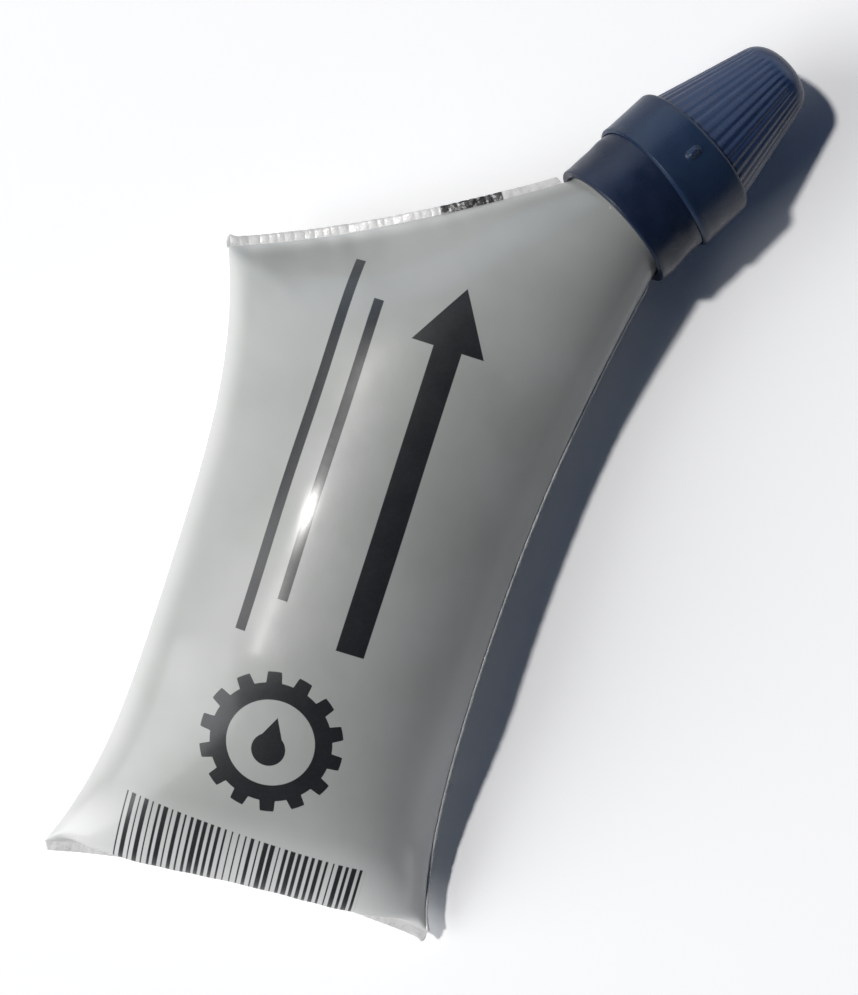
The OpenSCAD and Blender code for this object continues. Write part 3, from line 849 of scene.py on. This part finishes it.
# Materials
class Nodes:
    """Short forms for the nodes of a tree, with sockets or numbers as inputs."""

    def __init__(self, tree):
        self.tree = tree

    def put(self, value, socket):
        if isinstance(value, bpy.types.NodeSocket):
            self.tree.links.new(value, socket)
        else:
            socket.default_value = value

    def math(self, operation, *values):
        """Result of a math node."""
        node = self.tree.nodes.new("ShaderNodeMath")
        node.operation = operation
        for value, socket in zip(values, node.inputs):
            self.put(value, socket)
        return node.outputs[0]

    def step(self, value, low, high, to_low=0.0, to_high=1.0):
        """Smooth step of the value from low to high, from to_low to to_high."""
        node = self.tree.nodes.new("ShaderNodeMapRange")
        node.interpolation_type = "SMOOTHSTEP"
        names = ("Value", "From Min", "From Max", "To Min", "To Max")
        for name, v in zip(names, (value, low, high, to_low, to_high)):
            self.put(v, node.inputs[name])
        return node.outputs[0]

    def place(self):
        """Place on the piece in millimetres."""
        coordinates = self.tree.nodes.new("ShaderNodeTexCoord")
        scale = self.tree.nodes.new("ShaderNodeVectorMath")
        scale.operation = "SCALE"
        scale.inputs["Scale"].default_value = 1 / MM
        self.tree.links.new(coordinates.outputs["Object"], scale.inputs[0])
        return scale.outputs[0]

    def flat(self):
        """Lengths along the piece's flat map in millimetres."""
        node = self.tree.nodes.new("ShaderNodeUVMap")
        node.uv_map = "flat"
        split = self.tree.nodes.new("ShaderNodeSeparateXYZ")
        self.tree.links.new(node.outputs["UV"], split.inputs[0])
        return split.outputs["X"], split.outputs["Y"]

    def attribute(self, name):
        """Number that the piece stores at its points."""
        node = self.tree.nodes.new("ShaderNodeAttribute")
        node.attribute_name = name
        return node.outputs["Fac"]

    def noise(self, place, size, detail=2.0):
        """Noise between 0 and 1 whose blobs are about the given size in millimetres."""
        node = self.tree.nodes.new("ShaderNodeTexNoise")
        node.inputs["Scale"].default_value = 1 / size
        node.inputs["Detail"].default_value = detail
        self.tree.links.new(place, node.inputs["Vector"])
        return node.outputs["Fac"]

    def blend(self, share, a, b):
        """Colour between a and b."""
        node = self.tree.nodes.new("ShaderNodeMix")
        node.data_type = "RGBA"
        self.put(share, node.inputs["Factor"])
        for value, socket in ((a, node.inputs[6]), (b, node.inputs[7])):
            self.put(value if isinstance(value, bpy.types.NodeSocket) else (*value, 1), socket)
        return node.outputs[2]

    def light_path(self, ray):
        return self.tree.nodes.new("ShaderNodeLightPath").outputs[ray]


class Surface(Nodes):
    """A material and its nodes."""

    def __init__(self, name, color, roughness, **levels):
        self.material = bpy.data.materials.new(name)
        self.material.use_nodes = True
        super().__init__(self.material.node_tree)
        self.shader = self.tree.nodes["Principled BSDF"]
        self.shader.inputs["Base Color"].default_value = (*color, 1)
        self.shader.inputs["Roughness"].default_value = roughness
        for socket, value in levels.items():
            self.shader.inputs[socket.replace("_", " ")].default_value = value

    def bump(self, height, depth):
        node = self.tree.nodes.new("ShaderNodeBump")
        node.inputs["Distance"].default_value = depth * MM
        self.tree.links.new(height, node.inputs["Height"])
        self.tree.links.new(node.outputs[0], self.shader.inputs["Normal"])

    def color(self, value):
        self.put(value, self.shader.inputs["Base Color"])

    def roughness(self, value):
        self.put(value, self.shader.inputs["Roughness"])


def grey(level, red=1.0, green=1.0, blue=1.0):
    """Linear colour of a display level from 0 to 255, with a tint."""
    c = level / 255
    linear = c / 12.92 if c < 0.04045 else ((c + 0.055) / 1.055) ** 2.4
    return linear * red, linear * green, linear * blue


# Plain print of the film: two rules, an arrow to the nozzle, a toothed ring with a drop, and bars
RULES = ((-10.1, 40.0, 96.5, 1.5), (-5.5, 46.0, 91.5, 1.5))
ARROW_U = 6.1
ARROW_FROM = 41.5
ARROW_HEAD = 87.5
ARROW_TIP = 96.5
ARROW_W = 4.2
ARROW_SLOPE = 0.6
RING_AT = (-1.0, 25.6)
RING_R = 9.8
RING_HOLE = 6.5
TOOTH = 0.8
TEETH = 14
DROP_R = 2.5
DROP_DOWN = 1.0
DROP_TIP = 5.0
DROP_SLOPE = 0.5
BARS_AT = -0.9
BARS_W = 37.8
BARS_FROM = 2.5
BARS_TO = 11.0
BAR_PITCH = 1.05
BAR_THIN = 0.1
BAR_THICK = 0.36
INK_EDGE = 0.06


def print_share(n, u, v):
    """Share of ink, 1 inside the print, from signed distances in millimetres along the film."""

    def box(u_at, v_from, v_to, width):
        side = n.math("SUBTRACT", n.math("ABSOLUTE", n.math("SUBTRACT", u, u_at)), width / 2)
        middle = (v_from + v_to) / 2
        end = n.math("SUBTRACT", n.math("ABSOLUTE", n.math("SUBTRACT", v, middle)), (v_to - v_from) / 2)
        return n.math("MAXIMUM", side, end)

    shapes = [box(*rule) for rule in RULES]
    shapes.append(box(ARROW_U, ARROW_FROM, ARROW_HEAD + 0.2, ARROW_W))
    off = n.math("ABSOLUTE", n.math("SUBTRACT", u, ARROW_U))
    slope = n.math("SUBTRACT", off, n.math("MULTIPLY", n.math("SUBTRACT", ARROW_TIP, v), ARROW_SLOPE))
    shapes.append(n.math("MAXIMUM", slope, n.math("SUBTRACT", ARROW_HEAD, v)))

    du = n.math("SUBTRACT", u, RING_AT[0])
    dv = n.math("SUBTRACT", v, RING_AT[1])
    r = n.math("SQRT", n.math("ADD", n.math("MULTIPLY", du, du), n.math("MULTIPLY", dv, dv)))
    turns = n.math("COSINE", n.math("MULTIPLY", n.math("ARCTAN2", dv, du), TEETH))
    outer = n.math("SUBTRACT", n.math("SUBTRACT", r, RING_R), n.step(turns, -0.3, 0.3, -TOOTH, TOOTH))
    shapes.append(n.math("MAXIMUM", outer, n.math("SUBTRACT", RING_HOLE, r)))
    below = n.math("ADD", dv, DROP_DOWN)
    bulb = n.math("SQRT", n.math("ADD", n.math("MULTIPLY", du, du), n.math("MULTIPLY", below, below)))
    shapes.append(n.math("SUBTRACT", bulb, DROP_R))
    taper = n.math("MULTIPLY", n.math("SUBTRACT", DROP_TIP - DROP_DOWN, dv), DROP_SLOPE)
    point = n.math("SUBTRACT", n.math("ABSOLUTE", du), taper)
    shapes.append(n.math("MAXIMUM", point, n.math("SUBTRACT", -0.1, dv)))

    cell = n.math("DIVIDE", u, BAR_PITCH)
    pick = n.tree.nodes.new("ShaderNodeTexWhiteNoise")
    pick.noise_dimensions = "1D"
    n.put(n.math("FLOOR", cell), pick.inputs["W"])
    half = n.step(pick.outputs["Value"], 0.0, 1.0, BAR_THIN, BAR_THICK)
    inside = n.math("ABSOLUTE", n.math("SUBTRACT", n.math("FRACT", cell), 0.5))
    bar = n.math("MULTIPLY", n.math("SUBTRACT", inside, half), BAR_PITCH)
    shapes.append(n.math("MAXIMUM", bar, box(BARS_AT, BARS_FROM, BARS_TO, BARS_W)))

    nearest = shapes[0]
    for shape in shapes[1:]:
        nearest = n.math("MINIMUM", nearest, shape)
    return n.step(nearest, INK_EDGE, -INK_EDGE)


# Tones
FILM_DIM = grey(161, 0.975, 1.0, 0.95)
FILM_LIGHT = grey(169, 0.99, 1.0, 0.975)
FILM_PALE = grey(232, 1.0, 1.0, 0.985)
FILM_AT_NECK = grey(90, 0.95, 1.0, 1.1)
INK = grey(31, 0.9, 1.0, 1.1)
WELD_DIM = grey(196, 1.0, 1.0, 0.98)
WELD_LIGHT = grey(230, 1.0, 1.0, 0.98)
SCUFF = grey(44, 0.75, 1.0, 1.5)
# The plastic tones: partly the plastic's own blue-black and partly a painted reflection of a blue sky,
# lifted evenly over each part
PLASTIC_TONE = (0.013, 0.026, 0.058)
BAND_TONE = (0.008, 0.015, 0.036)
CAP_TONE = (0.015, 0.033, 0.09)
CAP_GLOSS = 0.36


def film_material(name, printed):
    """Milky satin film, paler near its edges, partly where little grease lies behind it and partly as a
    painted reflection of the bright floor, and darker towards the mouth.
    """
    n = Surface(name, grey(160), 0.42, Specular_IOR_Level=0.35, Coat_Weight=0.3, Coat_Roughness=0.16)
    place = n.place()
    cloud = n.noise(place, 16.0, 3.0)
    body = n.blend(n.step(cloud, 0.3, 0.7), FILM_DIM, FILM_LIGHT)
    # Painted reflection of the bright floor on the rims, together with paler film where little grease lies
    # behind it
    body = n.blend(n.attribute("pale"), body, FILM_PALE)
    body = n.blend(n.attribute("neck"), body, FILM_AT_NECK)
    if printed:
        u, v = n.flat()
        ink = print_share(n, u, v)
        wear_and_glint = n.step(n.noise(place, 0.5, 3.0), 0.25, 0.6, 0.988, 1.0)
        body = n.blend(n.math("MULTIPLY", ink, wear_and_glint), body, INK)
    n.color(body)
    n.roughness(n.step(n.noise(place, 5.0, 3.0), 0.25, 0.75, 0.38, 0.46))
    n.bump(n.noise(place, 2.2, 4.0), 0.03)
    return n.material


# Black control block on the top weld, as lengths along it
BLOCK_FROM = 33.0
BLOCK_TO = 42.5


def weld_material(name, printed):
    """Whitish welded film, a little see-through, with a control block where it is printed."""
    n = Surface(name, grey(215), 0.35, Specular_IOR_Level=0.5, Transmission_Weight=0.06)
    place = n.place()
    body = n.blend(n.noise(place, 1.3, 3.0), WELD_DIM, WELD_LIGHT)
    if printed:
        along = n.flat()[0]
        from_middle = n.math("ABSOLUTE", n.math("SUBTRACT", along, (BLOCK_FROM + BLOCK_TO) / 2))
        off = n.math("SUBTRACT", from_middle, (BLOCK_TO - BLOCK_FROM) / 2)
        # Lighter mottle in the black block: partly worn ink and partly painted glints of the crimps
        wear_and_glint = n.step(n.noise(place, 0.5, 2.0), 0.36, 0.5, 0.55, 0.97)
        body = n.blend(n.math("MULTIPLY", n.step(off, 0.1, -0.1), wear_and_glint), body, grey(24))
    n.color(body)
    n.roughness(n.step(n.noise(place, 0.8), 0.3, 0.7, 0.22, 0.42))
    n.bump(n.noise(place, 0.35, 3.0), 0.03)
    return n.material


def plastic_material(name, grain, tone, gloss=0.24):
    """Blue-black moulded polyethylene of a tone and gloss, with a fine grain and faint scuffs."""
    n = Surface(name, grey(30), 0.4, Specular_IOR_Level=gloss)
    place = n.place()
    # Tone partly the plastic's own and partly a painted sky reflection
    body = n.blend(n.noise(place, 6.0, 3.0), tuple(0.8 * c for c in tone), tuple(1.2 * c for c in tone))
    scuff = n.step(n.noise(place, 0.9, 5.0), 0.62, 0.74, 0.0, 0.35)
    n.color(n.blend(scuff, body, SCUFF))
    n.roughness(n.step(n.noise(place, 2.4, 4.0), 0.25, 0.75, 0.24, 0.38))
    n.bump(n.noise(place, grain, 3.0), 0.02)
    return n.material


def grease_material():
    """Wet dark grey grease."""
    n = Surface("grease", grey(48), 0.25, Specular_IOR_Level=0.6)
    place = n.place()
    n.color(n.blend(n.noise(place, 1.2, 4.0), grey(38), grey(60, 0.97, 0.98, 1.04)))
    n.roughness(n.step(n.noise(place, 0.6), 0.3, 0.7, 0.15, 0.4))
    n.bump(n.noise(place, 0.9, 3.0), 0.12)
    return n.material


def disc_material():
    """Soft foamed polyethylene."""
    n = Surface("disc", grey(225), 0.7)
    place = n.place()
    n.color(n.blend(n.noise(place, 0.4, 4.0), grey(212, 1.0, 0.99, 0.95), grey(234, 1.0, 0.995, 0.97)))
    n.roughness(n.step(n.noise(place, 0.5), 0.3, 0.7, 0.6, 0.8))
    n.bump(n.noise(place, 0.18, 2.0), 0.05)
    return n.material


# Pieces; the spout keeps its solid from the frame
plastic = plastic_material("plastic", 0.3, PLASTIC_TONE)
weld = weld_material("weld", False)
add_film("front_film_panel", "front_film", 1, film_material("film_printed", True))
add_film("back_film_panel", "back_film", -1, film_material("film_plain", False))
add_top_weld(weld_material("weld_printed", True))
add_bottom_weld(weld)
add_side_weld(weld)
add_grease(grease_material())
add_collar(plastic_material("band", 0.6, BAND_TONE))
add_nozzle(plastic)
add_cap(plastic_material("cap", 0.3, CAP_TONE, CAP_GLOSS))
add_disc(disc_material())
frame["nodes"]["spout"].data.materials.clear()
frame["nodes"]["spout"].data.materials.append(plastic)

# Photo's viewpoint: nearly straight above, with the picture turned about the line of sight
CAMERA_AT = Vector(plan_origin) + Vector((47.26, 72.18, 320.0))
CAMERA_AIM = Vector(plan_origin) + Vector((45.28, 64.99, 0.0))
CAMERA_TURN = 13.31
CAMERA_LENS = 74.52
CAMERA_SENSOR = 36.0
picture_right = Vector((math.cos(math.radians(CAMERA_TURN)), math.sin(math.radians(CAMERA_TURN)), 0))
picture_up = Vector((-picture_right.y, picture_right.x, 0))


def add_camera():
    """Camera at the photo's viewpoint."""
    camera = bpy.data.cameras.new("camera")
    camera.lens = CAMERA_LENS
    camera.sensor_width = CAMERA_SENSOR
    camera.clip_start = 0.01
    holder = bpy.data.objects.new("camera", camera)
    bpy.context.scene.collection.objects.link(holder)
    look = (CAMERA_AIM - CAMERA_AT).normalized()
    right = (picture_right - look * picture_right.dot(look)).normalized()
    up = right.cross(look)
    turn = Matrix((right, up, -look)).transposed().to_4x4()
    holder.matrix_world = Matrix.Translation(CAMERA_AT * MM) @ turn
    bpy.context.scene.camera = holder


# Light: a key from the picture's upper left, a wide soft fill from its lower left, and a dim surround
KEY_FROM_ABOVE = 30.0
KEY_SIDE = (-0.96, 0.27)
KEY_LIGHT = 1.75
KEY_ANGLE = 4.0
KEY_COLOR = (1.0, 0.985, 0.96)
FILL_FROM_ABOVE = 64.0
FILL_SIDE = (-0.97, -0.22)
FILL_SIZE = 1.6
FILL_AT = 2.0
FILL_POWER = 36.0
FILL_COLOR = (0.98, 0.99, 1.0)
SURROUND = 0.055
SURROUND_COLOR = (0.42, 0.6, 1.0)

# Backdrops that only gloss shows: side, angle from straight above, cosines where each begins and is full
BACKDROPS = (
    ((-0.4, 0.92), 88.0, 0.55, 0.95),
    ((0.65, 0.76), 78.0, 0.72, 0.95),
)
BACKDROP = 2.0
BACKDROP_COLOR = (0.8, 0.9, 1.0)

# Floor: half its side in metres, and its colour as the camera sees it
FLOOR_HALF = 2.0
FLOOR_SEEN = 1.15


def towards(side, from_above):
    """Direction towards a lamp, from its side in the picture and its angle from straight above."""
    flat = (side[0] * picture_right + side[1] * picture_up).normalized()
    tilt = math.radians(from_above)
    return flat * math.sin(tilt) + Vector((0, 0, math.cos(tilt)))


def add_lamp(name, kind, direction, distance, energy):
    """Lamp at a distance in metres from the part, turned to it."""
    lamp = bpy.data.lights.new(name, kind)
    lamp.energy = energy
    holder = bpy.data.objects.new(name, lamp)
    bpy.context.scene.collection.objects.link(holder)
    holder.location = direction * distance
    holder.rotation_euler = direction.to_track_quat("Z", "Y").to_euler()
    return lamp


def add_lamps():
    key = add_lamp("key", "SUN", towards(KEY_SIDE, KEY_FROM_ABOVE), 1.0, KEY_LIGHT)
    key.angle = math.radians(KEY_ANGLE)
    key.color = KEY_COLOR
    fill = add_lamp("fill", "AREA", towards(FILL_SIDE, FILL_FROM_ABOVE), FILL_AT, FILL_POWER)
    fill.size = FILL_SIZE
    fill.color = FILL_COLOR


def add_surround():
    """Dim bluish surround, with pale backdrops for gloss."""
    world = bpy.data.worlds.new("surround")
    world.use_nodes = True
    bpy.context.scene.world = world
    n = Nodes(world.node_tree)
    direction = n.tree.nodes.new("ShaderNodeTexCoord").outputs["Generated"]
    pale = []
    for side, from_above, low, high in BACKDROPS:
        facing = n.tree.nodes.new("ShaderNodeVectorMath")
        facing.operation = "DOT_PRODUCT"
        n.tree.links.new(direction, facing.inputs[0])
        facing.inputs[1].default_value = towards(side, from_above)
        pale.append(n.step(facing.outputs["Value"], low, high))
    backdrop = n.math("MULTIPLY", n.math("MAXIMUM", *pale), n.light_path("Is Glossy Ray"))
    background = n.tree.nodes["Background"]
    n.put(n.blend(backdrop, SURROUND_COLOR, BACKDROP_COLOR), background.inputs["Color"])
    n.put(n.step(backdrop, 0.0, 1.0, SURROUND, BACKDROP), background.inputs["Strength"])


def add_floor():
    """Plain white floor with a faint paper grain."""
    mesh = bpy.data.meshes.new("floor")
    turns = ((-1, -1), (1, -1), (1, 1), (-1, 1))
    mesh.from_pydata([(x * FLOOR_HALF, y * FLOOR_HALF, 0) for x, y in turns], [], [(0, 1, 2, 3)])
    n = Surface("floor", grey(250), 0.9, Specular_IOR_Level=0.1)
    paper = n.blend(n.noise(n.place(), 1.5), grey(252), grey(254))
    n.color(n.blend(n.light_path("Is Camera Ray"), paper, (FLOOR_SEEN, FLOOR_SEEN, FLOOR_SEEN)))
    mesh.materials.append(n.material)
    floor = bpy.data.objects.new("floor", mesh)
    bpy.context.scene.collection.objects.link(floor)


# Stage
add_camera()
add_lamps()
add_surround()
add_floor()
bpy.context.scene.view_settings.view_transform = "Standard"


bpy.context.view_layer.update()
